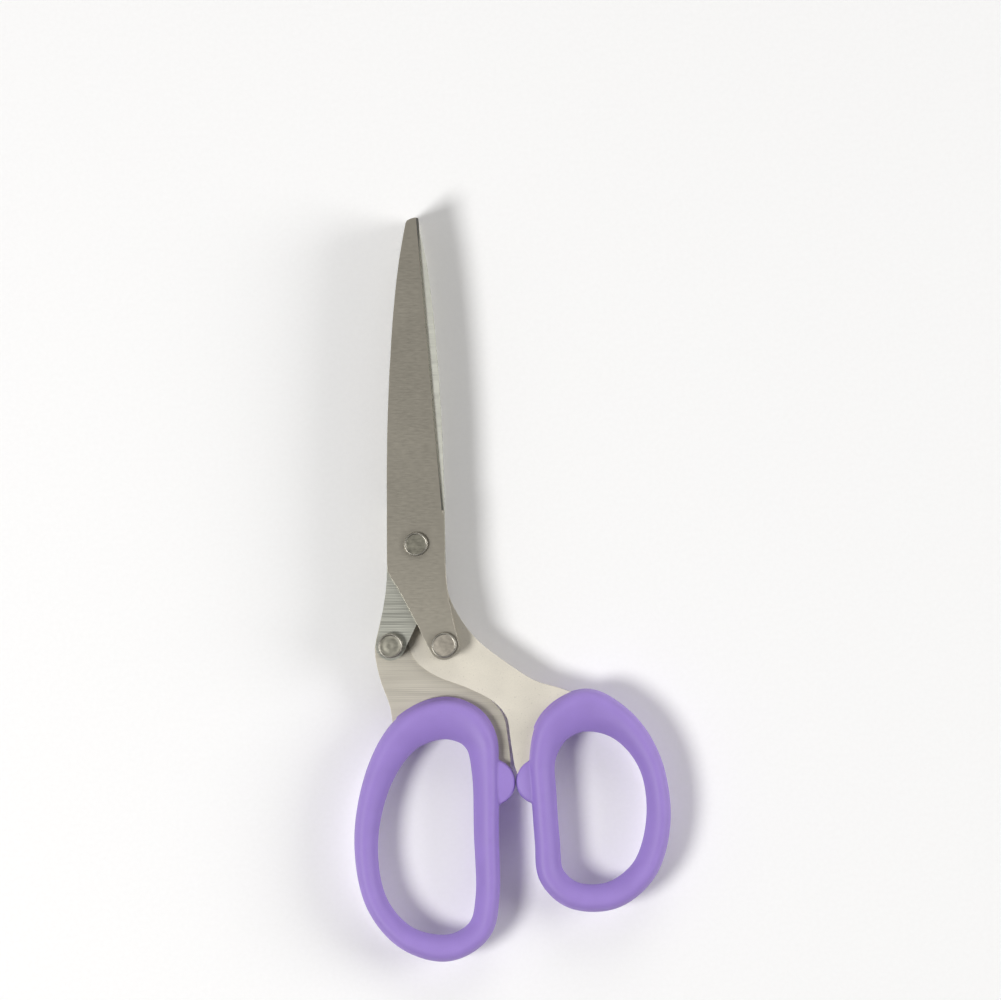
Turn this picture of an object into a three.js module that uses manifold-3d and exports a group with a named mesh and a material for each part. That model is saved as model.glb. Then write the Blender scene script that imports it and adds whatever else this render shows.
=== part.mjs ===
// Five-pair fringing scissors: ten stainless blades on one pivot rivet, in two halves that
// each end in a moulded finger loop. All sizes are in millimetres.
//
// Frame: +Y runs from the pivot to the blade tips, +X towards the thumb loop, +Z up.
// The origin is on the pivot axis, on the plane of the lower rivet heads, on which the
// scissors lie. The blades are closed. The finger half has the large loop and its blades
// are ground on their lower faces; the thumb half lies on it, pair by pair, and its blades
// are ground on their upper faces.
import * as THREE from "three";
import { mergeVertices } from "three/addons/utils/BufferGeometryUtils.js";
import Module from "manifold-3d";

// Stack of blades
const PAIRS = 5;
const TANG_PAIR = 3;
const CUT_PITCH = 3.2;
const BLADE_THICKNESS = 1.0;
const TANG_THICKNESS = 1.5;
const SLIDE_GAP = 0.05;
const SEAT_GAP = 0.05;

// Blade outline
const TIP_Y = 84.0;
const FINGER_TIP_Y = 83.1;
const TIP_HALF_WIDTH = 1.55;
const HEEL_Y = 7.4;
const HALF_WIDTH = 7.4;
const GRIND_SHARE = 0.52;
const GRIND_RUNOUT = 1.2;
const ARM_RIVET = new THREE.Vector2(6.9, -26.05);
const ARM_END_RADIUS = 3.8;

// Rivets and spacers
const SHANK_RADIUS = 1.9;
const HOLE_CLEARANCE = 0.08;
const HEAD_HEIGHT = 0.9;
const HEAD_ROUNDING = 0.4;
const HEAD_SHOULDER = new THREE.Vector2(0.12, 0.15);
const PIVOT_HEAD_RADIUS = 3.05;
const THUMB_HEAD_RADIUS = 3.25;
const FINGER_HEAD_RADIUS = 3.15;
const DIMPLE_RADIUS = 0.9;
const DIMPLE_DEPTH = 0.2;
const PIVOT_SPACER_RADIUS = 4.5;
const ARM_SPACER_RADIUS = 3.4;
const ROUND_STEPS = 20;

// Grips
const GRIP_HALF_HEIGHT = 4.6;
const GRIP_HEIGHT_GAIN = 0.12;
const LIMB_WIDTH = 6.3;
const NARROW_RIDGE_SHARE = 0.4;
const RIDGE_SHARE_LOSS = 0.028;
const OUTER_POWER = 2.4;
const INNER_POWER = 1.65;
const GRIP_STATIONS = 60;
const SECTION_STEPS = 12;
const STOP_HALF_HEIGHT = 3.0;
const STOP_ROUNDING = 0.8;
const STOP_HALF_ANGLE = 1.75;
const STOP_SEGMENTS = 9;
const SLOT_GAP = 0.1;
const WELD_DISTANCE = 1e-3;

const LOWEST_BLADE_Z = HEAD_HEIGHT + SEAT_GAP;
const LOWEST_CUT_Z = LOWEST_BLADE_Z + BLADE_THICKNESS + SLIDE_GAP / 2;
const STACK_TOP_Z = cutHeight(1) + SLIDE_GAP / 2 + BLADE_THICKNESS;
const TOP_Z = STACK_TOP_Z + SEAT_GAP + HEAD_HEIGHT;
const GRIP_Z = cutHeight(TANG_PAIR);

const steel = { metalness: 1.0, roughness: 0.35 };
const bladeSteel = new THREE.MeshStandardMaterial({ color: 0x8c867a, ...steel });
const groundSteel = new THREE.MeshStandardMaterial({ color: 0xa2a196, ...steel });
const tangSteel = new THREE.MeshStandardMaterial({ color: 0xd3cfc4, metalness: 1.0, roughness: 0.5 });
const rivetSteel = new THREE.MeshStandardMaterial({ color: 0xb4b0a6, ...steel });
const purplePlastic = new THREE.MeshStandardMaterial({ color: 0xa188d4, roughness: 0.6 });

const wasm = await Module();
wasm.setup();

// Height of a pair's cut, the plane in which its two blades slide. Pair 1 is the top one.
function cutHeight(pair) {
  return LOWEST_CUT_Z + (PAIRS - pair) * CUT_PITCH;
}

function bladeThickness(pair) {
  return pair === TANG_PAIR ? TANG_THICKNESS : BLADE_THICKNESS;
}

const thumbBladeBottom = (pair) => cutHeight(pair) + SLIDE_GAP / 2;
const thumbBladeTop = (pair) => thumbBladeBottom(pair) + bladeThickness(pair);
const fingerBladeTop = (pair) => cutHeight(pair) - SLIDE_GAP / 2;
const fingerBladeBottom = (pair) => fingerBladeTop(pair) - bladeThickness(pair);

const v2 = ([x, y]) => new THREE.Vector2(x, y);
const mirrored = (points) => points.map((p) => new THREE.Vector2(-p.x, p.y));

// A smooth open line through the given points, in equal steps.
function smooth(points, steps) {
  const line = new THREE.CatmullRomCurve3(points.map(([x, y]) => new THREE.Vector3(x, y, 0)));
  return line.getSpacedPoints(steps).map((p) => new THREE.Vector2(p.x, p.y));
}

function arc(centre, radius, fromDegrees, toDegrees, steps) {
  const from = THREE.MathUtils.degToRad(fromDegrees);
  const to = THREE.MathUtils.degToRad(toDegrees);
  return new THREE.EllipseCurve(centre.x, centre.y, radius, radius, from, to).getPoints(steps);
}

// Joins stretches of an outline and drops each point that repeats the one before it.
function joined(...stretches) {
  const all = stretches.flat();
  return all.filter((p, i) => p.distanceTo(all[(i + 1) % all.length]) > 0.02);
}

// ---- Outlines, for a thumb blade: cutting edge on +X, spine on -X ----

// Cutting edge from heel to tip, the blunt tip, and the spine down to the arm.
function bladeStretch(tipY = TIP_Y) {
  const edge = [
    v2([HALF_WIDTH - 0.05, HEEL_Y]),
    v2([HALF_WIDTH - 0.15, HEEL_Y + GRIND_RUNOUT]),
    v2([TIP_HALF_WIDTH, tipY - 0.1]),
  ];
  const tip = [v2([TIP_HALF_WIDTH - 0.3, tipY]), v2([-0.3, tipY - 0.25]), v2([-1.3, tipY - 0.75])];
  const spine = smooth(
    [
      [-1.65, tipY - 1.4], [-3.35, 73.7], [-4.9, 61.4], [-5.95, 49.0],
      [-6.7, 36.6], [-7.15, 24.3], [-HALF_WIDTH, 9.0], [-HALF_WIDTH - 0.1, -5.0],
    ],
    18,
  );
  return [edge, tip, spine];
}

// The side of the pivot area, from the arm up to the heel.
const SIDE_ABOVE_ARM = [[7.75, -10.4], [7.45, -5.0], [HALF_WIDTH, 0.0], [HALF_WIDTH - 0.05, HEEL_Y]];

function armBladeOutline(tipY = TIP_Y) {
  const innerSide = smooth([[-7.5, -5.0], [-7.1, -7.4], [-4.7, -11.3], [-0.2, -20.1]], 9);
  const end = arc(ARM_RIVET, ARM_END_RADIUS, 206, 373, 14);
  const outerSide = smooth([[10.6, -25.2], [9.55, -20.8], [8.3, -14.6], ...SIDE_ABOVE_ARM], 12);
  return joined(...bladeStretch(tipY), innerSide, end, outerSide);
}

// The thumb tang runs on from the blade, turns outwards and ends inside the grip.
function thumbTangOutline() {
  const innerSide = smooth(
    [
      [-7.5, -5.0], [-4.8, -13.5], [-2.6, -21.5], [-2.0, -27.0], [0.0, -30.6], [4.7, -34.0],
      [13.0, -37.3], [19.7, -41.0], [22.9, -45.0], [23.65, -50.1], [24.65, -57.2],
    ],
    34,
  );
  const root = smooth(
    [[24.65, -57.2], [26.7, -63.0], [30.6, -67.5], [31.5, -78.0], [32.6, -79.0], [33.6, -78.0]],
    14,
  );
  const insideGrip = smooth(
    [[33.6, -78.0], [32.9, -60.0], [34.6, -48.8], [41.6, -43.3], [42.6, -41.2], [40.8, -39.0]],
    16,
  );
  const outerSide = smooth(
    [
      [40.8, -39.0], [35.5, -37.2], [30.3, -35.6], [22.8, -30.7], [15.6, -25.0],
      [11.3, -19.55], [8.5, -14.0], ...SIDE_ABOVE_ARM,
    ],
    34,
  );
  return joined(...bladeStretch(), innerSide, root, insideGrip, outerSide);
}

// The finger tang is drawn as it lies, with its cutting edge on -X.
function fingerTangOutline() {
  const blade = mirrored(joined(...bladeStretch(FINGER_TIP_Y)));
  const innerSide = smooth(
    [
      [7.5, -5.0], [4.8, -13.5], [2.7, -21.5], [2.2, -25.5], [3.6, -29.6], [11.0, -34.8],
      [19.6, -41.2], [22.1, -44.8], [23.0, -49.7], [23.7, -56.1],
    ],
    32,
  );
  const root = smooth(
    [[23.7, -56.1], [22.9, -62.0], [19.4, -66.6], [18.7, -82.0], [17.5, -83.0], [16.3, -82.0]],
    14,
  );
  const insideGrip = smooth(
    [[16.3, -82.0], [16.3, -60.0], [12.0, -49.4], [5.0, -46.6], [-4.2, -50.6], [-6.4, -49.2], [-6.6, -46.8]],
    18,
  );
  const outerSide = smooth(
    [
      [-6.6, -46.8], [-7.2, -42.0], [-9.7, -34.8], [-11.0, -27.0], [-9.8, -21.2],
      [-8.3, -14.6], ...SIDE_ABOVE_ARM.map(([x, y]) => [-x, y]),
    ],
    24,
  );
  return joined(blade, innerSide, root, insideGrip, outerSide.slice(0, -1));
}

// ---- Solids ----

function roundHole(x, y, radius) {
  const hole = new THREE.Path();
  hole.absarc(x, y, radius, 0, Math.PI * 2, true);
  return hole;
}

// A flat plate from z = 0 up, drilled for the pivot and for the rivet in its arm.
function drilledPlate(outline, thickness, armRivetX) {
  const isClockwise = THREE.ShapeUtils.isClockWise(outline);
  const shape = new THREE.Shape(isClockwise ? outline.slice().reverse() : outline);
  const radius = SHANK_RADIUS + HOLE_CLEARANCE;
  shape.holes.push(roundHole(0, 0, radius), roundHole(armRivetX, ARM_RIVET.y, radius));
  const curveSegments = ROUND_STEPS / 2;
  return new THREE.ExtrudeGeometry(shape, { depth: thickness, bevelEnabled: false, curveSegments });
}

// Grinds the cutting edge: on one face, its rim moves in from the edge on the other face.
function grind(geometry, thickness, edgeSide, faceZ) {
  const position = geometry.getAttribute("position");
  const slope = (HALF_WIDTH - TIP_HALF_WIDTH) / (TIP_Y - HEEL_Y);
  for (let i = 0; i < position.count; i++) {
    const x = position.getX(i) * edgeSide;
    const y = position.getY(i);
    const edgeX = TIP_HALF_WIDTH + (TIP_Y - y) * slope;
    const isOnEdge = y > HEEL_Y + 0.5 && x > 0 && x > edgeX - 0.4;
    if (isOnEdge && Math.abs(position.getZ(i) - faceZ) < 0.01) {
      position.setX(i, (x - GRIND_SHARE * thickness) * edgeSide);
    }
  }
  return geometry;
}

function thumbBlade(outline, pair) {
  const thickness = bladeThickness(pair);
  const plate = drilledPlate(outline, thickness, ARM_RIVET.x);
  return grind(plate, thickness, 1, thickness);
}

function fingerBlade(outline, pair) {
  const thickness = bladeThickness(pair);
  const plate = drilledPlate(outline, thickness, -ARM_RIVET.x);
  return grind(plate, thickness, -1, 0);
}

// A solid of revolution about Z from [radius, z] points, given from the bottom up.
function turned(profile, steps = ROUND_STEPS) {
  return new THREE.LatheGeometry(profile.map(v2), steps).rotateX(Math.PI / 2);
}

// A two-headed rivet through the whole stack. A dimple marks the top of a set rivet.
function rivet(headRadius, dimpled) {
  const flatRadius = headRadius - HEAD_ROUNDING;
  const shoulderRadius = headRadius - HEAD_SHOULDER.x;
  const foot = [[0, 0], [flatRadius, 0], [shoulderRadius, HEAD_SHOULDER.y], [headRadius, HEAD_ROUNDING]];
  const shank = [
    [headRadius, HEAD_HEIGHT], [SHANK_RADIUS, HEAD_HEIGHT],
    [SHANK_RADIUS, TOP_Z - HEAD_HEIGHT], [headRadius, TOP_Z - HEAD_HEIGHT],
  ];
  const head = [
    [headRadius, TOP_Z - HEAD_ROUNDING], [shoulderRadius, TOP_Z - HEAD_SHOULDER.y], [flatRadius, TOP_Z],
  ];
  const crown = dimpled ? [[DIMPLE_RADIUS, TOP_Z], [0, TOP_Z - DIMPLE_DEPTH]] : [[0, TOP_Z]];
  return turned([...foot, ...shank, ...head, ...crown]);
}

function spacer(radius, thickness) {
  const bore = SHANK_RADIUS + HOLE_CLEARANCE;
  return turned([[bore, 0], [radius, 0], [radius, thickness], [bore, thickness], [bore, 0]]);
}

// ---- Grips ----

// Points along the middle of each loop's limb, clockwise from its top: x, y and the limb's width.
// The limbs are widest at the top, where they hold the tangs.
const FINGER_LOOP = [
  [6.5, -45.1, 10.8], [12.6, -46.9, 10.1], [16.1, -51.3, 8.4], [17.1, -59.0, 7.0], [17.2, -75.0, 6.5],
  [17.3, -91.0, 6.2], [15.6, -98.9, 6.4], [11.0, -103.0, 6.7], [5.0, -104.3, 7.0], [-4.2, -101.2, 6.2],
  [-11.4, -92.2, 5.8], [-13.8, -76.0, 6.2], [-9.8, -58.8, 7.5], [-2.6, -48.6, 9.5],
];
const THUMB_LOOP = [
  [43.6, -43.4, 11.2], [50.9, -46.2, 8.8], [56.5, -51.6, 7.1], [60.5, -59.9, 6.1], [61.5, -73.0, 6.4],
  [57.7, -84.8, 6.8], [49.4, -91.2, 7.2], [39.4, -91.0, 7.0], [33.9, -85.9, 6.7], [32.9, -77.0, 6.5],
  [32.2, -65.5, 6.5], [31.9, -55.5, 6.9], [34.5, -48.4, 9.1], [39.1, -44.6, 10.4],
];
const FINGER_STOP = { x: 18.8, y: -61.7, radius: 6.0, facing: 0 };
const THUMB_STOP = { x: 31.0, y: -61.5, radius: 6.0, facing: Math.PI };

// One point of the limb's section. Its ridge lies nearer the outside of the loop, most of all
// where the limb is wide, and the inner side falls off almost straight.
function sectionPoint(middle, inward, width, angle) {
  const power = Math.cos(angle) > 0 ? OUTER_POWER : INNER_POWER;
  const rounded = (value) => Math.sign(value) * Math.abs(value) ** (2 / power);
  const outwards = rounded(Math.cos(angle));
  const ridge = NARROW_RIDGE_SHARE - RIDGE_SHARE_LOSS * (width - LIMB_WIDTH);
  const share = outwards > 0 ? ridge * (1 - outwards) : ridge - (1 - ridge) * outwards;
  const halfHeight = GRIP_HALF_HEIGHT + GRIP_HEIGHT_GAIN * (width - LIMB_WIDTH);
  return middle
    .clone()
    .addScaledVector(inward, (share - 0.5) * width)
    .setZ(rounded(Math.sin(angle)) * halfHeight);
}

function loopGeometry(loop) {
  const line = new THREE.CatmullRomCurve3(loop.map((point) => new THREE.Vector3(...point)), true);
  const positions = [];
  const index = [];
  for (let i = 0; i < GRIP_STATIONS; i++) {
    const { x, y, z: width } = line.getPoint(i / GRIP_STATIONS);
    const along = line.getTangent(i / GRIP_STATIONS);
    const middle = new THREE.Vector3(x, y, 0);
    const inward = new THREE.Vector3(along.y, -along.x, 0).normalize();
    const here = i * SECTION_STEPS;
    const next = ((i + 1) % GRIP_STATIONS) * SECTION_STEPS;
    for (let j = 0; j < SECTION_STEPS; j++) {
      positions.push(...sectionPoint(middle, inward, width, (2 * Math.PI * j) / SECTION_STEPS));
      const k = (j + 1) % SECTION_STEPS;
      index.push(here + j, here + k, next + j, here + k, next + k, next + j);
    }
  }
  const geometry = new THREE.BufferGeometry().setIndex(index);
  return geometry.setAttribute("position", new THREE.Float32BufferAttribute(positions, 3));
}

// The half-round pad beside the loop that stops the handles when the blades are closed.
function stopGeometry({ x, y, radius, facing }) {
  const shape = new THREE.Shape();
  shape.absarc(x, y, radius - STOP_ROUNDING, facing - STOP_HALF_ANGLE, facing + STOP_HALF_ANGLE);
  const depth = 2 * (STOP_HALF_HEIGHT - STOP_ROUNDING);
  return new THREE.ExtrudeGeometry(shape, {
    depth,
    bevelThickness: STOP_ROUNDING,
    bevelSize: STOP_ROUNDING,
    bevelSegments: 2,
    curveSegments: STOP_SEGMENTS,
  }).translate(0, 0, -depth / 2);
}

function toManifold(geometry) {
  const bare = new THREE.BufferGeometry().setAttribute("position", geometry.getAttribute("position").clone());
  const welded = mergeVertices(bare.setIndex(geometry.index ? geometry.index.clone() : null), WELD_DISTANCE);
  const vertProperties = welded.attributes.position.array;
  const triVerts = new Uint32Array(welded.index.array);
  return new wasm.Manifold(new wasm.Mesh({ numProp: 3, vertProperties, triVerts }));
}

function toGeometry(manifold) {
  const { vertProperties, triVerts } = manifold.getMesh();
  const geometry = new THREE.BufferGeometry();
  geometry.setAttribute("position", new THREE.BufferAttribute(vertProperties, 3));
  geometry.setIndex(new THREE.BufferAttribute(triVerts, 1));
  geometry.computeVertexNormals();
  return geometry;
}

// The outline moved out by a small distance, for the slot that the tang fills.
function grown(outline, distance) {
  return outline.map((p, i) => {
    const before = outline[(i + outline.length - 1) % outline.length];
    const after = outline[(i + 1) % outline.length];
    const along = after.clone().sub(before).normalize();
    const sign = THREE.ShapeUtils.isClockWise(outline) ? -1 : 1;
    return new THREE.Vector2(p.x + sign * distance * along.y, p.y - sign * distance * along.x);
  });
}

// A grip is moulded over its tang: the loop and the stop in one, with the tang's own slot.
function grip(loop, stop, tangOutline, tangBottom) {
  const slotDepth = TANG_THICKNESS + 2 * SLOT_GAP;
  const slot = new THREE.ExtrudeGeometry(new THREE.Shape(grown(tangOutline, SLOT_GAP)), {
    depth: slotDepth,
    bevelEnabled: false,
  }).translate(0, 0, tangBottom - GRIP_Z - SLOT_GAP);
  const moulding = toManifold(loopGeometry(loop)).add(toManifold(stopGeometry(stop)));
  return toGeometry(moulding.subtract(toManifold(slot)));
}

// ---- Assembly ----

function place(parent, name, geometry, material, x, y, z) {
  const mesh = new THREE.Mesh(geometry, material);
  mesh.name = name;
  mesh.position.set(x, y, z);
  parent.add(mesh);
}

// Spacers hold the blades of one half apart at the rivet in its arm.
function placeArmSpacers(half, side, rivetX, bladeBottom, bladeTop) {
  for (let pair = 1; pair < PAIRS; pair++) {
    const bottom = bladeTop(pair + 1) + SEAT_GAP;
    const thickness = bladeBottom(pair) - SEAT_GAP - bottom;
    const geometry = spacer(ARM_SPACER_RADIUS, thickness);
    place(half, `${side}_arm_spacer_${pair}`, geometry, rivetSteel, rivetX, ARM_RIVET.y, bottom);
  }
}

function thumbHalf() {
  const half = new THREE.Group();
  const tang = thumbTangOutline();
  for (let pair = 1; pair <= PAIRS; pair++) {
    const isTang = pair === TANG_PAIR;
    const geometry = thumbBlade(isTang ? tang : armBladeOutline(), pair);
    const name = isTang ? "thumb_tang_blade" : `thumb_blade_${pair}`;
    place(half, name, geometry, isTang ? tangSteel : bladeSteel, 0, 0, thumbBladeBottom(pair));
  }
  placeArmSpacers(half, "thumb", ARM_RIVET.x, thumbBladeBottom, thumbBladeTop);
  place(half, "thumb_arm_rivet", rivet(THUMB_HEAD_RADIUS, false), rivetSteel, ARM_RIVET.x, ARM_RIVET.y, 0);
  const moulding = grip(THUMB_LOOP, THUMB_STOP, tang, thumbBladeBottom(TANG_PAIR));
  place(half, "thumb_grip", moulding, purplePlastic, 0, 0, GRIP_Z);
  return half;
}

function fingerHalf() {
  const half = new THREE.Group();
  const tang = fingerTangOutline();
  const armOutline = mirrored(armBladeOutline(FINGER_TIP_Y));
  for (let pair = 1; pair <= PAIRS; pair++) {
    const isTang = pair === TANG_PAIR;
    const geometry = fingerBlade(isTang ? tang : armOutline, pair);
    const name = isTang ? "finger_tang_blade" : `finger_blade_${pair}`;
    place(half, name, geometry, isTang ? tangSteel : groundSteel, 0, 0, fingerBladeBottom(pair));
  }
  placeArmSpacers(half, "finger", -ARM_RIVET.x, fingerBladeBottom, fingerBladeTop);
  place(half, "finger_arm_rivet", rivet(FINGER_HEAD_RADIUS, true), rivetSteel, -ARM_RIVET.x, ARM_RIVET.y, 0);
  const moulding = grip(FINGER_LOOP, FINGER_STOP, tang, fingerBladeBottom(TANG_PAIR));
  place(half, "finger_grip", moulding, purplePlastic, 0, 0, GRIP_Z);
  return half;
}

// The pivot rivet, and the spacers on it that keep each pair off the next.
function pivot() {
  const group = new THREE.Group();
  place(group, "pivot_rivet", rivet(PIVOT_HEAD_RADIUS, false), rivetSteel, 0, 0, 0);
  for (let pair = 1; pair < PAIRS; pair++) {
    const bottom = thumbBladeTop(pair + 1) + SEAT_GAP;
    const thickness = fingerBladeBottom(pair) - SEAT_GAP - bottom;
    const geometry = spacer(PIVOT_SPACER_RADIUS, thickness);
    place(group, `pivot_spacer_${pair}`, geometry, rivetSteel, 0, 0, bottom);
  }
  return group;
}

const scissors = new THREE.Group();
scissors.add(fingerHalf(), thumbHalf(), pivot());

export default scissors;
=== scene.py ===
"""Looks of the fringing scissors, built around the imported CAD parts.

The plates, rivets and spacers are redrawn from their CAD nodes with rounded edges. The two
grips are swept again as fine mouldings. Places are in the frame of the CAD model: +Y towards
the tips, +X towards the thumb loop, +Z up. Sizes are in metres, but for the grips' sizes,
which are in millimetres until their vertices are made.
"""
import math

import bmesh
import bpy
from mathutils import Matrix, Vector


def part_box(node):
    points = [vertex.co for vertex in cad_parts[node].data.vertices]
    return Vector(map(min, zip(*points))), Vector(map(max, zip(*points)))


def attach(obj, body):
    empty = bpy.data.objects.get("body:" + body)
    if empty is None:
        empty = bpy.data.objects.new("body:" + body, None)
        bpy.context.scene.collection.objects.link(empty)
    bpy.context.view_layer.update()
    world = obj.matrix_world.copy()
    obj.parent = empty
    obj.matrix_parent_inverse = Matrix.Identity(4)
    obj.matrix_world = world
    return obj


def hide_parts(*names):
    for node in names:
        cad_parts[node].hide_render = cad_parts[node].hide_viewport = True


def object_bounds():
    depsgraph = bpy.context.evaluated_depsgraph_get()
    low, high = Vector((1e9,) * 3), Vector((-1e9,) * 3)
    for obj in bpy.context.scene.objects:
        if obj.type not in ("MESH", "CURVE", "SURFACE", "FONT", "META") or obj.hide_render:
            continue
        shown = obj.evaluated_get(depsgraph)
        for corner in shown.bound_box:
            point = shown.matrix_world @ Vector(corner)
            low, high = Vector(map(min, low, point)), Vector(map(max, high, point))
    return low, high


MM = 0.001

# Camera, straight above, turned a little
CAMERA_TARGET = Vector((21.9, 11.1, 12.0)) * MM
CAMERA_VIEW_WIDTH = 257.8 * MM
CAMERA_LENS_MM = 300.0
CAMERA_SENSOR_MM = 36.0
CAMERA_ROLL = math.radians(-0.708)

# Strength of the surroundings, at the sides and straight above, and its share on the near side
WORLD_SIDES = 0.4
WORLD_ZENITH = 0.14
WORLD_NEAR_SHARE = 0.3
WORLD_COLOUR = (1.0, 0.99, 0.975, 1.0)
FLOOR_HALF_WIDTH = 6.0

# Steel. A wave texture of scale 1 repeats after WAVE_PERIOD metres.
# How much paler the satin plates are painted towards the arm: painted light.
ARM_PAINTED_LIGHT = 1.2
SATIN_CONTRAST = 0.05
WAVE_PERIOD = math.pi / 10
# Painted shade: a dark ring on the plates round each rivet head stands in for the contact shadow under
# the head.
CONTACT_SHADE_WIDTH = 1.6 * MM
CONTACT_SHADE_STRENGTH = 0.16
CONTACT_SHADE_COLOUR = (0.03, 0.028, 0.025)

# Blades. The outer pairs have no tangs.
OUTER_PAIRS = (1, 2, 4, 5)
HEEL_Y = 7.4 * MM
EDGE_ROUNDING = 0.11 * MM
SPINE_ROUNDING = 0.3 * MM
SPINE_NEAREST_X = 1.2 * MM
GROUND_EDGE_LENGTH = 20 * MM
GROUND_BEVEL_AREA = 10 * MM * MM
WELD_DISTANCE = 0.002 * MM
FLAT_ANGLE = math.radians(0.6)
RIM_ANGLE = math.radians(25)
LEVEL_TOLERANCE = 0.01 * MM
BLADE_CREASE = math.radians(32)

# Rivets and spacers
GAPS = (1, 2, 3, 4)
ROUND_SEGMENTS = 96
RIM_STEPS = 12
RIVET_CREASE = math.radians(40)
HEAD_HEIGHT = 0.9 * MM
SHANK_RADIUS = 1.9 * MM
RIM_HALF_WIDTH = 0.27 * MM
RIM_DROP = 0.3 * MM
SPACER_BORE_RADIUS = 1.98 * MM
SPACER_CHAMFER = 0.12 * MM
SPACER_CREASE = math.radians(30)

# Grips, in millimetres: points along the middle of each limb, clockwise from the top, as x, y
# and the width.
FINGER_LOOP = [
    (6.5, -45.1, 10.8), (12.6, -46.9, 10.1), (16.1, -51.3, 8.4), (17.1, -59.0, 7.0),
    (17.2, -75.0, 6.5), (17.3, -91.0, 6.2), (15.6, -98.9, 6.4), (11.0, -103.0, 6.7),
    (5.0, -104.3, 7.0), (-4.2, -101.2, 6.2), (-11.4, -92.2, 5.8), (-13.8, -76.0, 6.2),
    (-9.8, -58.8, 7.5), (-2.6, -48.6, 9.5),
]
THUMB_LOOP = [
    (43.6, -43.4, 11.2), (50.9, -46.2, 8.8), (56.5, -51.6, 7.1), (60.5, -59.9, 6.1),
    (61.5, -73.0, 6.4), (57.7, -84.8, 6.8), (49.4, -91.2, 7.2), (39.4, -91.0, 7.0),
    (33.9, -85.9, 6.7), (32.9, -77.0, 6.5), (32.2, -65.5, 6.5), (31.9, -55.5, 6.9),
    (34.5, -48.4, 9.1), (39.1, -44.6, 10.4),
]
# The stops' radius is taken half-way up. It is a little over the CAD's there, and the draft
# brings it under the CAD's towards both rims.
FINGER_STOP = {"x": 18.8, "y": -61.7, "radius": 6.08, "side": 1}
THUMB_STOP = {"x": 31.0, "y": -61.5, "radius": 6.08, "side": -1}
GRIP_HALF_HEIGHT = 4.6
GRIP_HEIGHT_GAIN = 0.12
LIMB_WIDTH = 6.3
NARROW_RIDGE_SHARE = 0.4
RIDGE_SHARE_LOSS = 0.028
OUTER_POWER = 2.4
NARROW_INNER_POWER = 1.75
INNER_POWER_LOSS = 0.04
STATIONS_PER_POINT = 18
SECTION_STEPS = 48
STOP_HALF_HEIGHT = 3.0
STOP_DOME = 0.5
STOP_DRAFT = 0.22
STOP_ROUNDING = 0.6
STOP_ROUNDING_STEPS = 6
STOP_ROOT = 1.0
LIP_PROUD = 0.28
LIP_HALF_WIDTH = 1.2
LIP_HALF_HEIGHT = 2.2
LIP_POWER = 4.0
LIP_STEPS = 24
# The stretch of each loop with a lip, as places in its list of points
FINGER_LIP = (13.0, 16.6)
THUMB_LIP = (11.75, 13.7)
VOXEL = 0.22 * MM
SOFTENING = 0.5
SOFTENING_ROUNDS = 4

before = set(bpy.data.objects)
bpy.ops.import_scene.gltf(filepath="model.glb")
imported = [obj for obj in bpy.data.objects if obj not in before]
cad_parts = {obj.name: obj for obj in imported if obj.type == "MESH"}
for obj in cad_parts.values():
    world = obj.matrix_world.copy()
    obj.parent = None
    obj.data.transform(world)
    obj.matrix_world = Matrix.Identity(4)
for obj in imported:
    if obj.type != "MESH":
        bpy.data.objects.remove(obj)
cad_box = [list(corner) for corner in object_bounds()]


# ---- Materials ----

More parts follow.
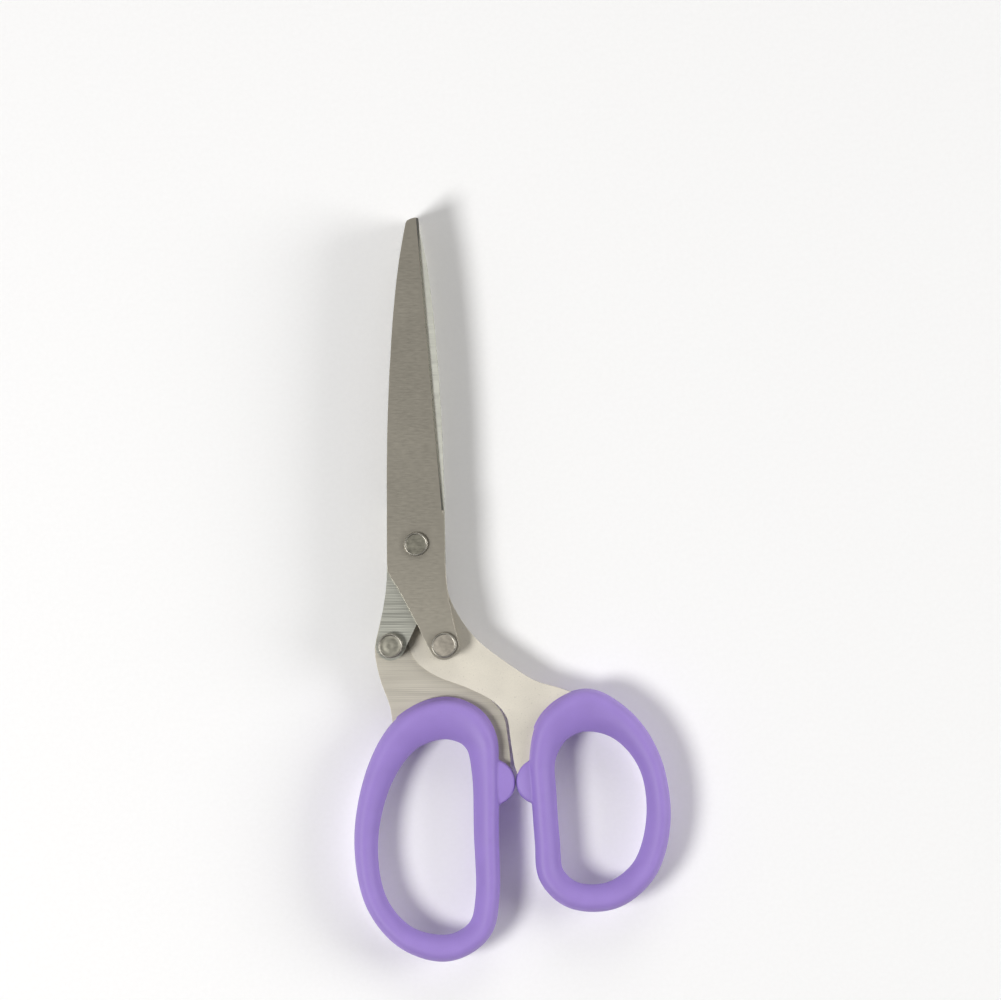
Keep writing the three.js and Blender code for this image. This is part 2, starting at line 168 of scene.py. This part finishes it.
class Shader:
    """A new material with a Principled shader, and short ways to wire up its nodes."""

    def __init__(self, name, **sockets):
        self.material = bpy.data.materials.new(name)
        self.material.use_nodes = True
        self.tree = self.material.node_tree
        self.principled = self.tree.nodes["Principled BSDF"]
        for socket, value in sockets.items():
            self.principled.inputs[socket.replace("_", " ")].default_value = value
        self.place = self.node("ShaderNodeTexCoord").outputs["Object"]

    def node(self, kind, **settings):
        made = self.tree.nodes.new(kind)
        for key, value in settings.items():
            setattr(made, key, value)
        return made

    def link(self, source, target):
        self.tree.links.new(source, target)

    def noise(self, scale, detail=3.0, stretch=(1.0, 1.0, 1.0), turn=0.0):
        """Noise with `scale` features per metre, finer by `stretch` along each axis."""
        mapping = self.node("ShaderNodeMapping")
        mapping.inputs["Rotation"].default_value = (0.0, 0.0, turn)
        mapping.inputs["Scale"].default_value = stretch
        texture = self.node("ShaderNodeTexNoise")
        texture.inputs["Scale"].default_value = scale
        texture.inputs["Detail"].default_value = detail
        self.link(self.place, mapping.inputs["Vector"])
        self.link(mapping.outputs["Vector"], texture.inputs["Vector"])
        return texture.outputs["Fac"]

    def ranged(self, value, low, high, start=0.3, end=0.7):
        """Maps value from start..end to low..high."""
        node = self.node("ShaderNodeMapRange")
        for socket, number in zip(("From Min", "From Max", "To Min", "To Max"), (start, end, low, high)):
            node.inputs[socket].default_value = number
        self.link(value, node.inputs["Value"])
        return node.outputs["Result"]

    def math(self, operation, first, second):
        node = self.node("ShaderNodeMath", operation=operation)
        for socket, value in zip(node.inputs, (first, second)):
            if isinstance(value, (int, float)):
                socket.default_value = value
            else:
                self.link(value, socket)
        return node.outputs[0]

    def part_of_place(self, axis):
        split = self.node("ShaderNodeSeparateXYZ")
        self.link(self.place, split.inputs[0])
        return split.outputs[axis]

    def distance_from(self, x, y):
        """Distance in metres from an upright axis."""
        flat = self.node("ShaderNodeVectorMath", operation="MULTIPLY")
        flat.inputs[1].default_value = (1.0, 1.0, 0.0)
        self.link(self.place, flat.inputs[0])
        away = self.node("ShaderNodeVectorMath", operation="DISTANCE")
        away.inputs[1].default_value = (x, y, 0.0)
        self.link(flat.outputs["Vector"], away.inputs[0])
        return away.outputs["Value"]

    def paint_contact_shade(self, base, rivets, radius):
        """Paints a dark ring into a plate's colour close round its rivet heads: painted contact shade
        under each head.
        """
        for x, y in rivets:
            away = self.distance_from(x, y)
            painted_shade = self.ranged(away, CONTACT_SHADE_STRENGTH, 0.0, radius, radius + CONTACT_SHADE_WIDTH)
            base = self.mixed(painted_shade, base, CONTACT_SHADE_COLOUR)
        return base

    def mixed(self, factor, first, second):
        """Mixes two colours, or a colour and an earlier mix."""
        node = self.node("ShaderNodeMix", data_type="RGBA")
        self.link(factor, node.inputs["Factor"])
        for socket, value in zip((node.inputs[6], node.inputs[7]), (first, second)):
            if isinstance(value, tuple):
                socket.default_value = (*value, 1.0)
            else:
                self.link(value, socket)
        return node.outputs[2]

    def bump(self, height, distance, strength, normal=None):
        node = self.node("ShaderNodeBump")
        node.inputs["Distance"].default_value = distance
        node.inputs["Strength"].default_value = strength
        self.link(height, node.inputs["Height"])
        if normal is not None:
            self.link(normal, node.inputs["Normal"])
        return node.outputs["Normal"]

    def wire(self, **sockets):
        for socket, source in sockets.items():
            self.link(source, self.principled.inputs[socket.replace("_", " ")])
        return self.material


def srgb(red, green, blue):
    """A colour given as 0 to 255 sRGB values, as linear values."""
    def linear(value):
        value /= 255.0
        return value / 12.92 if value <= 0.04045 else ((value + 0.055) / 1.055) ** 2.4
    return (linear(red), linear(green), linear(blue))


def scaled(colour, factor):
    return tuple(min(1.0, channel * factor) for channel in colour)


def satin_steel(name, colour, roughness=0.42):
    """Rolled stainless sheet with a satin finish: smooth, faintly clouded, and painted paler towards the
    arm as painted light.
    """
    shader = Shader(name, Metallic=1.0)
    clouds = shader.ranged(shader.noise(60.0, 3.0), 0.0, 1.0)
    grain = shader.noise(2600.0, 2.0, (0.2, 1.0, 1.0))
    scratches = shader.noise(700.0, 1.0, (0.05, 4.0, 1.0), 0.35)
    dark, light = scaled(colour, 1.0 - SATIN_CONTRAST), scaled(colour, 1.0 + SATIN_CONTRAST)
    base = shader.mixed(clouds, dark, light)
    # Painted light: the plate is painted paler towards the arm, where the light falls brighter.
    arm = shader.ranged(shader.part_of_place("Y"), 1.0, 0.0, -20.0 * MM, 6.0 * MM)
    base = shader.mixed(arm, base, scaled(colour, ARM_PAINTED_LIGHT))
    base = shader.mixed(shader.ranged(grain, 0.0, 0.05), base, scaled(colour, 0.4))
    base = shader.mixed(shader.ranged(scratches, 0.0, 0.12, 0.66, 0.72), base, scaled(colour, 1.5))
    # Painted contact shade round the rivet heads.
    base = shader.paint_contact_shade(base, RIVETS, HEAD_RADIUS)
    rough = shader.ranged(grain, roughness - 0.03, roughness + 0.03)
    normal = shader.bump(grain, 0.0012 * MM, 0.3)
    return shader.wire(Base_Color=base, Roughness=rough, Normal=normal)


def ground_steel(name, colour, roughness, pitch, contrast, lit_paleness=1.0):
    """Steel left from the grinding wheel: straight fine lines across, and painted paler along the blade
    as painted light.
    """
    shader = Shader(name, Metallic=1.0)
    wheel = shader.node("ShaderNodeTexWave", wave_type="BANDS", bands_direction="Y")
    wheel.inputs["Scale"].default_value = WAVE_PERIOD / pitch
    wheel.inputs["Distortion"].default_value = 0.6
    wheel.inputs["Detail Scale"].default_value = 0.02
    shader.link(shader.place, wheel.inputs["Vector"])
    streaks = shader.noise(1.0 / pitch, 1.0, (0.02, 1.0, 1.0))
    lines = shader.math("ADD", shader.math("MULTIPLY", wheel.outputs["Fac"], 0.3),
                        shader.math("MULTIPLY", streaks, 0.7))
    clouds = shader.ranged(shader.noise(140.0, 2.0), 0.0, 0.7, 0.0, 1.0)
    dark, light = scaled(colour, 1.0 - contrast), scaled(colour, 1.0 + contrast)
    base = shader.mixed(shader.ranged(lines, 0.0, 1.0, 0.2, 0.8), dark, light)
    base = shader.mixed(clouds, base, colour)
    # Painted light: the blade is painted paler than the arm, standing in for the light falling on it.
    lit_blade = shader.ranged(shader.part_of_place("Y"), 0.0, 1.0, -4.0 * MM, 12.0 * MM)
    base = shader.mixed(lit_blade, base, scaled(colour, lit_paleness))
    # Painted contact shade round the rivet heads.
    base = shader.paint_contact_shade(base, RIVETS, HEAD_RADIUS)
    rough = shader.ranged(lines, roughness - 0.06, roughness + 0.06)
    normal = shader.bump(lines, 0.005 * MM, 0.5)
    return shader.wire(Base_Color=base, Roughness=rough, Normal=normal)


def blasted_steel(name, colour, roughness=0.55):
    """Bead-blasted steel: even and bright, with a fine dark pepper of pits."""
    shader = Shader(name, Metallic=0.85)
    clouds = shader.ranged(shader.noise(60.0, 3.0), 0.0, 1.0)
    blast = shader.noise(4200.0, 2.0)
    pits = shader.ranged(shader.noise(1900.0, 1.0), 0.0, 0.22, 0.66, 0.78)
    base = shader.mixed(clouds, scaled(colour, 0.9), scaled(colour, 1.04))
    base = shader.mixed(shader.ranged(blast, 0.0, 0.12), base, scaled(colour, 0.6))
    base = shader.mixed(pits, base, scaled(colour, 0.4))
    # Painted contact shade round the rivet heads.
    base = shader.paint_contact_shade(base, RIVETS, HEAD_RADIUS)
    normal = shader.bump(blast, 0.008 * MM, 0.5)
    rough = shader.ranged(clouds, roughness - 0.04, roughness + 0.05, 0.0, 1.0)
    return shader.wire(Base_Color=base, Roughness=rough, Normal=normal)


def sheared_steel(name, colour):
    """The cut sides of a punched plate: smooth at the top, torn below."""
    shader = Shader(name, Metallic=1.0)
    tears = shader.noise(2600.0, 3.0, (1.0, 1.0, 0.12))
    base = shader.mixed(shader.ranged(tears, 0.0, 1.0), scaled(colour, 0.7), colour)
    rough = shader.ranged(tears, 0.4, 0.6)
    return shader.wire(Base_Color=base, Roughness=rough, Normal=shader.bump(tears, 0.01 * MM, 0.7))


def worked_steel(name, colour, roughness, mottle=0.1):
    """Rivet and washer steel: mottled, with fine random scratches."""
    shader = Shader(name, Metallic=1.0)
    clouds = shader.ranged(shader.noise(900.0, 3.0), 0.0, 1.0)
    scratches = shader.noise(3000.0, 3.0, (0.15, 1.0, 1.0), 0.7)
    base = shader.mixed(clouds, scaled(colour, 1.0 - mottle), scaled(colour, 1.0 + mottle))
    rough = shader.ranged(scratches, roughness - 0.07, roughness + 0.1)
    return shader.wire(Base_Color=base, Roughness=rough, Normal=shader.bump(scratches, 0.008 * MM, 0.6))


def moulded_plastic(name, colour, seam_z):
    """Matte overmoulded plastic: an even spark-eroded grain, and the mould's seam half-way up."""
    shader = Shader(name, IOR=1.46, Specular_IOR_Level=0.45)
    grain = shader.noise(4200.0, 2.0)
    waves = shader.noise(160.0, 2.0)
    off_seam = shader.math("ABSOLUTE", shader.math("SUBTRACT", shader.part_of_place("Z"), seam_z), 0.0)
    seam = shader.ranged(off_seam, 1.0, 0.0, 0.04 * MM, 0.12 * MM)
    base = shader.mixed(shader.ranged(waves, 0.0, 1.0), scaled(colour, 0.97), scaled(colour, 1.03))
    base = shader.mixed(shader.ranged(grain, 0.0, 0.10), base, scaled(colour, 0.6))
    base = shader.mixed(shader.math("MULTIPLY", seam, 0.25), base, scaled(colour, 0.5))
    rough = shader.ranged(waves, 0.48, 0.56)
    normal = shader.bump(grain, 0.02 * MM, 0.5)
    normal = shader.bump(seam, 0.08 * MM, 0.7, normal)
    return shader.wire(Base_Color=base, Roughness=rough, Normal=normal)


def paper_white(name):
    """The table: plain, matte and pale, with the faintest tooth."""
    shader = Shader(name, Roughness=0.9)
    tooth = shader.noise(900.0, 3.0)
    base = shader.mixed(shader.ranged(tooth, 0.0, 1.0), (0.955, 0.95, 0.945), (0.975, 0.97, 0.965))
    return shader.wire(Base_Color=base)


def centre_of(node):
    low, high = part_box(node)
    return (low + high) / 2


RIVETS = [tuple(centre_of(node).xy) for node in ("pivot_rivet", "thumb_arm_rivet", "finger_arm_rivet")]
HEAD_RADIUS = (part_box("pivot_rivet")[1].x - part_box("pivot_rivet")[0].x) / 2

THUMB_STEEL = satin_steel("thumb_blade_satin", srgb(185, 179, 165))
FINGER_STEEL = ground_steel("finger_blade_ground", srgb(206, 206, 194), 0.42, 0.42 * MM, 0.24,
                            lit_paleness=1.65)
THUMB_TANG_STEEL = blasted_steel("thumb_tang_blasted", srgb(239, 233, 219))
FINGER_TANG_STEEL = ground_steel("finger_tang_ground", srgb(217, 211, 197), 0.5, 0.5 * MM, 0.1)
# Painted shade: the ground bevel is the blade's own steel painted far darker, standing in for the shade
# along the cutting edge.
SHADED_BEVEL_STEEL = satin_steel("cutting_bevel_painted_shade", srgb(74, 72, 66), 0.36)
CUT_STEEL = sheared_steel("punched_side", srgb(150, 145, 133))
PLAIN_HEAD_STEEL = worked_steel("rivet_stamped", srgb(143, 140, 127), 0.5, 0.18)
GROOVED_HEAD_STEEL = worked_steel("rivet_coined", srgb(163, 160, 147), 0.5, 0.16)
CROWNED_HEAD_STEEL = worked_steel("rivet_blasted", srgb(181, 174, 161), 0.5, 0.16)
BURNISHED_STEEL = worked_steel("rivet_burnished", srgb(164, 160, 150), 0.4, 0.05)
SPACER_STEEL = worked_steel("spacer_turned", srgb(172, 168, 158), 0.4)
PURPLE = moulded_plastic("purple_moulding", srgb(160, 134, 209), centre_of("finger_grip").z)


# ---- Pieces ----

def piece_from(bm, name, body, slot, materials, *nodes):
    """Turns a bmesh into a piece that rides on a body and stands for some CAD nodes."""
    mesh = bpy.data.meshes.new(name)
    bm.to_mesh(mesh)
    bm.free()
    for material in materials:
        mesh.materials.append(material)
    piece = bpy.data.objects.new(name, mesh)
    bpy.context.scene.collection.objects.link(piece)
    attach(piece, body)
    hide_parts(*nodes)
    return piece


def shade_by_angle(bm, crease):
    """Smooth shading, broken at edges that bend by more than the crease angle."""
    for face in bm.faces:
        face.smooth = True
    for edge in bm.edges:
        edge.smooth = edge.is_manifold and edge.calc_face_angle(0.0) < crease


def weight_normals(piece):
    """Lets the large flat faces keep their own normals beside rounded edges."""
    modifier = piece.modifiers.new("weighted_normals", "WEIGHTED_NORMAL")
    modifier.keep_sharp = True
    modifier.mode = "FACE_AREA"


# ---- Blades ----

def welded_copy(node):
    """The CAD node's solid with its flat faces whole again."""
    bm = bmesh.new()
    bm.from_mesh(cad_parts[node].data)
    bmesh.ops.remove_doubles(bm, verts=bm.verts, dist=WELD_DISTANCE)
    bmesh.ops.dissolve_limit(bm, angle_limit=FLAT_ANGLE, verts=bm.verts, edges=bm.edges)
    return bm


def is_ground_edge(edge, side):
    """Whether an edge of a plate belongs to the ground cutting edge, on +X or -X."""
    middle = (edge.verts[0].co + edge.verts[1].co) / 2
    along = (edge.verts[1].co - edge.verts[0].co).normalized()
    is_long = edge.calc_length() > GROUND_EDGE_LENGTH and abs(along.y) > 0.9
    return middle.x * side > 0 and middle.y > HEEL_Y and is_long


def is_spine(edge, side):
    """Whether an edge of a plate lies along its back, on the side away from the cutting edge."""
    middle = (edge.verts[0].co + edge.verts[1].co) / 2
    return middle.x * side < -SPINE_NEAREST_X and middle.y > HEEL_Y


def round_edges(bm, side):
    """Rounds every rim of a plate but its cutting edge, and a thumb blade's spine the most."""
    width = bm.edges.layers.float.new("bevel_weight_edge")
    rims = [e for e in bm.edges if e.calc_face_angle(0.0) > RIM_ANGLE]
    flat_rims = [e for e in rims if abs(e.verts[0].co.z - e.verts[1].co.z) < LEVEL_TOLERANCE]
    blunt = [e for e in flat_rims if not is_ground_edge(e, side)]
    for edge in blunt:
        is_wide = side > 0 and is_spine(edge, side)
        edge[width] = 1.0 if is_wide else EDGE_ROUNDING / SPINE_ROUNDING
    bmesh.ops.bevel(bm, geom=blunt, offset=SPINE_ROUNDING, segments=3, profile=0.5,
                    affect="EDGES", clamp_overlap=True)


def paint_plate(bm, side):
    """Face 0 is the sheet's surface, 1 the ground bevel and 2 the punched side."""
    for face in bm.faces:
        steepness = abs(face.normal.z)
        centre = face.calc_center_median()
        on_bevel = centre.y > HEEL_Y and face.normal.x * side > 0.5 and 0.1 < steepness < 0.9
        if on_bevel and face.calc_area() > GROUND_BEVEL_AREA:
            face.material_index = 1
        elif steepness < 0.1:
            face.material_index = 2


def make_blade(node, body, side, face_steel, slot):
    bm = welded_copy(node)
    round_edges(bm, side)
    paint_plate(bm, side)
    shade_by_angle(bm, BLADE_CREASE)
    piece = piece_from(bm, node + "_finished", body, slot, (face_steel, SHADED_BEVEL_STEEL, CUT_STEEL), node)
    weight_normals(piece)


def make_blades():
    for pair in OUTER_PAIRS:
        make_blade(f"thumb_blade_{pair}", "thumb_half", 1, THUMB_STEEL, "thumb_blade_steel")
        make_blade(f"finger_blade_{pair}", "finger_half", -1, FINGER_STEEL, "finger_blade_steel")
    make_blade("thumb_tang_blade", "thumb_half", 1, THUMB_TANG_STEEL, "thumb_tang_steel")
    make_blade("finger_tang_blade", "finger_half", -1, FINGER_TANG_STEEL, "finger_tang_steel")


# ---- Rivets and spacers ----

def turned_solid(profile, centre):
    """A solid of revolution about an upright axis, from (radius, z) points from the bottom up."""
    bm = bmesh.new()
    rings = []
    for radius, z in profile:
        if radius < 1e-9:
            rings.append([bm.verts.new((centre.x, centre.y, z))])
            continue
        rings.append([])
        for step in range(ROUND_SEGMENTS):
            angle = 2 * math.pi * step / ROUND_SEGMENTS
            place = (centre.x + radius * math.cos(angle), centre.y + radius * math.sin(angle), z)
            rings[-1].append(bm.verts.new(place))
    for lower, upper in zip(rings, rings[1:]):
        for step in range(ROUND_SEGMENTS):
            following = (step + 1) % ROUND_SEGMENTS
            corners = [lower[step % len(lower)], lower[following % len(lower)],
                       upper[following % len(upper)], upper[step % len(upper)]]
            corners = list(dict.fromkeys(corners))
            bm.faces.new(corners)
    return bm


def rim_points(radius, top, inner_drop):
    """Points over a head's raised rim, from its side to the edge of its face."""
    middle = radius - RIM_HALF_WIDTH
    points = []
    for step in range(RIM_STEPS + 1):
        angle = math.pi * step / RIM_STEPS
        drop = RIM_DROP if angle < math.pi / 2 else inner_drop
        points.append((middle + RIM_HALF_WIDTH * math.cos(angle), top - drop * (1 - math.sin(angle))))
    return points


# Faces of the set heads inside the rim, as (share of the face's radius, depth in mm) inwards.
HEAD_FACES = {
    "plain": [(0.97, 0.17), (0.90, 0.18), (0.4, 0.15), (0.0, 0.14)],
    "grooved": [(0.97, 0.18), (0.86, 0.23), (0.68, 0.22), (0.5, 0.15), (0.36, 0.12), (0.24, 0.12),
                (0.12, 0.15), (0.0, 0.155)],
    "crowned": [(0.97, 0.09), (0.90, 0.09), (0.7, 0.05), (0.35, 0.02), (0.0, 0.015)],
}


def make_rivet(node, body, style, face_steel):
    low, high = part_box(node)
    centre = (low + high) / 2
    radius = (high.x - low.x) / 2
    face = HEAD_FACES[style]
    face_radius = radius - 2 * RIM_HALF_WIDTH
    side = [(SHANK_RADIUS, high.z - HEAD_HEIGHT), (radius, high.z - HEAD_HEIGHT)]
    rim = rim_points(radius, high.z, face[0][1] * MM)
    crown = [(face_radius * share, high.z - depth * MM) for share, depth in face]
    upper = side + rim + crown
    lower = [(r, low.z + high.z - z) for r, z in reversed(upper)]
    bm = turned_solid(lower + upper, centre)
    for facet in bm.faces:
        away = (facet.calc_center_median().xy - centre.xy).length
        facet.material_index = 0 if away > face_radius else 1
    shade_by_angle(bm, RIVET_CREASE)
    piece = piece_from(bm, node + "_set", body, "rivet_steel", (BURNISHED_STEEL, face_steel), node)
    weight_normals(piece)


def make_spacer(node, body):
    low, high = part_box(node)
    radius = (high.x - low.x) / 2
    bore = SPACER_BORE_RADIUS
    flat = radius - SPACER_CHAMFER
    profile = [(bore, low.z), (flat, low.z), (radius, low.z + SPACER_CHAMFER),
               (radius, high.z - SPACER_CHAMFER), (flat, high.z), (bore, high.z), (bore, low.z)]
    bm = turned_solid(profile, centre_of(node))
    bmesh.ops.remove_doubles(bm, verts=bm.verts, dist=0.001 * MM)
    shade_by_angle(bm, SPACER_CREASE)
    piece_from(bm, node + "_turned", body, "spacer_steel", (SPACER_STEEL,), node)


def make_rivets_and_spacers():
    make_rivet("pivot_rivet", "finger_half", "plain", PLAIN_HEAD_STEEL)
    make_rivet("finger_arm_rivet", "finger_half", "grooved", GROOVED_HEAD_STEEL)
    make_rivet("thumb_arm_rivet", "thumb_half", "crowned", CROWNED_HEAD_STEEL)
    for gap in GAPS:
        make_spacer(f"pivot_spacer_{gap}", "finger_half")
        make_spacer(f"finger_arm_spacer_{gap}", "finger_half")
        make_spacer(f"thumb_arm_spacer_{gap}", "thumb_half")


# ---- Grips ----

def closed_curve(points, per_point):
    """A centripetal Catmull-Rom curve through the points, back to the first."""
    count = len(points)
    samples = []
    for i in range(count):
        p = [Vector(points[(i + k) % count]) for k in (-1, 0, 1, 2)]
        t = [0.0]
        for a, b in zip(p, p[1:]):
            t.append(t[-1] + (b - a).length ** 0.5)
        for step in range(per_point):
            u = t[1] + (t[2] - t[1]) * step / per_point
            a = [p[k].lerp(p[k + 1], (u - t[k]) / (t[k + 1] - t[k])) for k in range(3)]
            b = [a[k].lerp(a[k + 1], (u - t[k]) / (t[k + 2] - t[k])) for k in range(2)]
            samples.append(b[0].lerp(b[1], (u - t[1]) / (t[2] - t[1])))
    return samples


def rounded(value, power):
    return math.copysign(abs(value) ** (2.0 / power), value)


def section_point(angle, width):
    """A limb's section: (distance inwards from the limb's middle, height), in mm."""
    cosine, sine = math.cos(angle), math.sin(angle)
    inner_power = NARROW_INNER_POWER - INNER_POWER_LOSS * (width - LIMB_WIDTH)
    power = OUTER_POWER if cosine > 0 else inner_power
    outwards = rounded(cosine, power)
    ridge = NARROW_RIDGE_SHARE - RIDGE_SHARE_LOSS * (width - LIMB_WIDTH)
    share = ridge * (1 - outwards) if outwards > 0 else ridge - (1 - ridge) * outwards
    half_height = GRIP_HALF_HEIGHT + GRIP_HEIGHT_GAIN * (width - LIMB_WIDTH)
    return (share - 0.5) * width, rounded(sine, power) * half_height


def add_loop(bm, loop, middle_z):
    stations = closed_curve(loop, STATIONS_PER_POINT)
    count = len(stations)
    rings = []
    for i, station in enumerate(stations):
        along = stations[(i + 1) % count] - stations[i - 1]
        inward = Vector((along.y, -along.x)).normalized()
        ring = []
        for step in range(SECTION_STEPS):
            inwards, height = section_point(2 * math.pi * step / SECTION_STEPS, station.z)
            x = station.x + inward.x * inwards
            y = station.y + inward.y * inwards
            ring.append(bm.verts.new((x * MM, y * MM, height * MM + middle_z)))
        rings.append(ring)
    for ring, following in zip(rings, rings[1:] + rings[:1]):
        for step in range(SECTION_STEPS):
            after = (step + 1) % SECTION_STEPS
            bm.faces.new((ring[step], ring[after], following[after], following[step]))


def add_stop(bm, stop, middle_z):
    """The half-round pad that the other grip meets: drafted sides and a low dome."""
    radius = (stop["radius"] - STOP_DRAFT) * MM
    rounding = STOP_ROUNDING * MM
    rim = STOP_HALF_HEIGHT * MM - STOP_DOME * MM
    upper = [(stop["radius"] * MM, 0.0)]
    for step in range(STOP_ROUNDING_STEPS + 1):
        angle = math.pi / 2 * step / STOP_ROUNDING_STEPS
        upper.append((radius - rounding * (1 - math.cos(angle)), rim - rounding * (1 - math.sin(angle))))
    for share in (0.7, 0.5, 0.3, 0.0):
        upper.append((radius * share, rim + STOP_DOME * MM * (1 - share * share)))
    lower = [(r, -z) for r, z in reversed(upper[1:])]
    profile = [(r, z + middle_z) for r, z in lower + upper]
    centre = Vector((stop["x"], stop["y"], 0.0)) * MM
    pad = turned_solid(profile, centre)
    inside = Vector((-stop["side"], 0.0, 0.0))
    root = bmesh.ops.bisect_plane(pad, geom=pad.verts[:] + pad.edges[:] + pad.faces[:], clear_outer=True,
                                  plane_co=centre + inside * STOP_ROOT * MM, plane_no=inside)
    cut = [e for e in root["geom_cut"] if isinstance(e, bmesh.types.BMEdge)]
    bmesh.ops.contextual_create(pad, geom=cut)
    mesh = bpy.data.meshes.new("pad")
    pad.to_mesh(mesh)
    pad.free()
    bm.from_mesh(mesh)
    bpy.data.meshes.remove(mesh)


def add_lip(bm, loop, first, last, middle_z):
    """The thin lip that the mould leaves round the tang, on the outside of the loop's wide end."""
    stations = closed_curve(loop, STATIONS_PER_POINT)
    count = len(stations)
    start, end = round(first * STATIONS_PER_POINT), round(last * STATIONS_PER_POINT)
    rings = []
    for i in range(start, end + 1):
        station = stations[i % count]
        along = stations[(i + 1) % count] - stations[i % count - 1]
        outward = Vector((-along.y, along.x)).normalized()
        fade = min(1.0, (end - i) / STATIONS_PER_POINT)
        middle = station.z / 2 + LIP_PROUD * fade - LIP_HALF_WIDTH
        ring = []
        for step in range(LIP_STEPS):
            angle = 2 * math.pi * step / LIP_STEPS
            reach = middle + rounded(math.cos(angle), LIP_POWER) * LIP_HALF_WIDTH
            height = rounded(math.sin(angle), LIP_POWER) * LIP_HALF_HEIGHT
            x = station.x + outward.x * reach
            y = station.y + outward.y * reach
            ring.append(bm.verts.new((x * MM, y * MM, height * MM + middle_z)))
        rings.append(ring)
    for ring, following in zip(rings, rings[1:]):
        for step in range(LIP_STEPS):
            after = (step + 1) % LIP_STEPS
            bm.faces.new((ring[after], ring[step], following[step], following[after]))
    bm.faces.new(rings[0])
    bm.faces.new(reversed(rings[-1]))


def make_grip(name, node, body, loop, stop, lip):
    low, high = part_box(node)
    middle_z = (low.z + high.z) / 2
    bm = bmesh.new()
    add_loop(bm, loop, middle_z)
    add_stop(bm, stop, middle_z)
    add_lip(bm, loop, *lip, middle_z)
    bmesh.ops.recalc_face_normals(bm, faces=bm.faces)
    fuse(piece_from(bm, name, body, "purple_plastic", (PURPLE,), node))


def fuse(piece):
    """Makes one skin of the loop, its stop and its lip, with soft lines where they meet."""
    remesh = piece.modifiers.new("fuse", "REMESH")
    remesh.mode = "VOXEL"
    remesh.voxel_size = VOXEL
    remesh.use_smooth_shade = True
    smooth = piece.modifiers.new("soften", "SMOOTH")
    smooth.factor = SOFTENING
    smooth.iterations = SOFTENING_ROUNDS
    depsgraph = bpy.context.evaluated_depsgraph_get()
    fused = bpy.data.meshes.new_from_object(piece.evaluated_get(depsgraph))
    piece.modifiers.clear()
    piece.data = fused


def make_grips():
    make_grip("finger_grip_moulding", "finger_grip", "finger_half", FINGER_LOOP, FINGER_STOP, FINGER_LIP)
    make_grip("thumb_grip_moulding", "thumb_grip", "thumb_half", THUMB_LOOP, THUMB_STOP, THUMB_LIP)


# ---- Studio ----

def make_camera():
    data = bpy.data.cameras.new("camera")
    data.lens = CAMERA_LENS_MM
    data.sensor_width = CAMERA_SENSOR_MM
    distance = CAMERA_VIEW_WIDTH * CAMERA_LENS_MM / data.sensor_width
    data.clip_start = distance / 10
    data.clip_end = distance * 4
    camera = bpy.data.objects.new("camera", data)
    camera.location = CAMERA_TARGET + Vector((0.0, 0.0, distance))
    camera.rotation_euler = (0.0, 0.0, CAMERA_ROLL)
    bpy.context.scene.collection.objects.link(camera)
    bpy.context.scene.camera = camera


def add_softbox(name, place, size, power):
    """A round white light that faces the origin and isn't seen by the camera."""
    data = bpy.data.lights.new(name, "AREA")
    data.shape = "DISK"
    data.size = size
    data.energy = power
    light = bpy.data.objects.new(name, data)
    light.location = place
    light.rotation_euler = (-Vector(place)).to_track_quat("-Z", "Y").to_euler()
    light.visible_camera = False
    bpy.context.scene.collection.objects.link(light)


def ranged_strength(tree, value, limits):
    """Maps a world node's value smoothly; limits are from low, from high, to low, to high."""
    fade = tree.nodes.new("ShaderNodeMapRange")
    fade.interpolation_type = "SMOOTHSTEP"
    for socket, limit in zip(("From Min", "From Max", "To Min", "To Max"), limits):
        fade.inputs[socket].default_value = limit
    tree.links.new(value, fade.inputs["Value"])
    return fade.outputs["Result"]


def make_world():
    """Soft white surroundings, dimmer straight above and on the near side."""
    world = bpy.data.worlds.new("studio")
    bpy.context.scene.world = world
    world.use_nodes = True
    tree = world.node_tree
    background = tree.nodes["Background"]
    background.inputs["Color"].default_value = WORLD_COLOUR
    direction = tree.nodes.new("ShaderNodeTexCoord")
    split = tree.nodes.new("ShaderNodeSeparateXYZ")
    tree.links.new(direction.outputs["Generated"], split.inputs[0])
    by_height = ranged_strength(tree, split.outputs["Z"], (0.55, 1.0, WORLD_SIDES, WORLD_ZENITH))
    by_side = ranged_strength(tree, split.outputs["Y"], (-0.9, 0.3, WORLD_NEAR_SHARE, 1.0))
    strength = tree.nodes.new("ShaderNodeMath")
    strength.operation = "MULTIPLY"
    tree.links.new(by_height, strength.inputs[0])
    tree.links.new(by_side, strength.inputs[1])
    tree.links.new(strength.outputs[0], background.inputs["Strength"])


def make_floor():
    bm = bmesh.new()
    bmesh.ops.create_grid(bm, x_segments=8, y_segments=8, size=FLOOR_HALF_WIDTH)
    mesh = bpy.data.meshes.new("floor")
    bm.to_mesh(mesh)
    bm.free()
    mesh.materials.append(paper_white("table_paper"))
    floor = bpy.data.objects.new("floor", mesh)
    floor.location.z = cad_box[0][2]
    bpy.context.scene.collection.objects.link(floor)


def make_studio():
    make_camera()
    make_world()
    make_floor()
    add_softbox("key_left", (-0.77, -0.37, 1.15), size=0.46, power=13.0)
    add_softbox("fill_right", (1.3, 0.1, 0.7), size=0.9, power=9.5)
    add_softbox("fill_far", (0.15, 1.45, 1.0), size=1.1, power=5.0)
    bpy.context.scene.view_settings.view_transform = "Standard"


make_studio()
make_blades()
make_rivets_and_spacers()
make_grips()
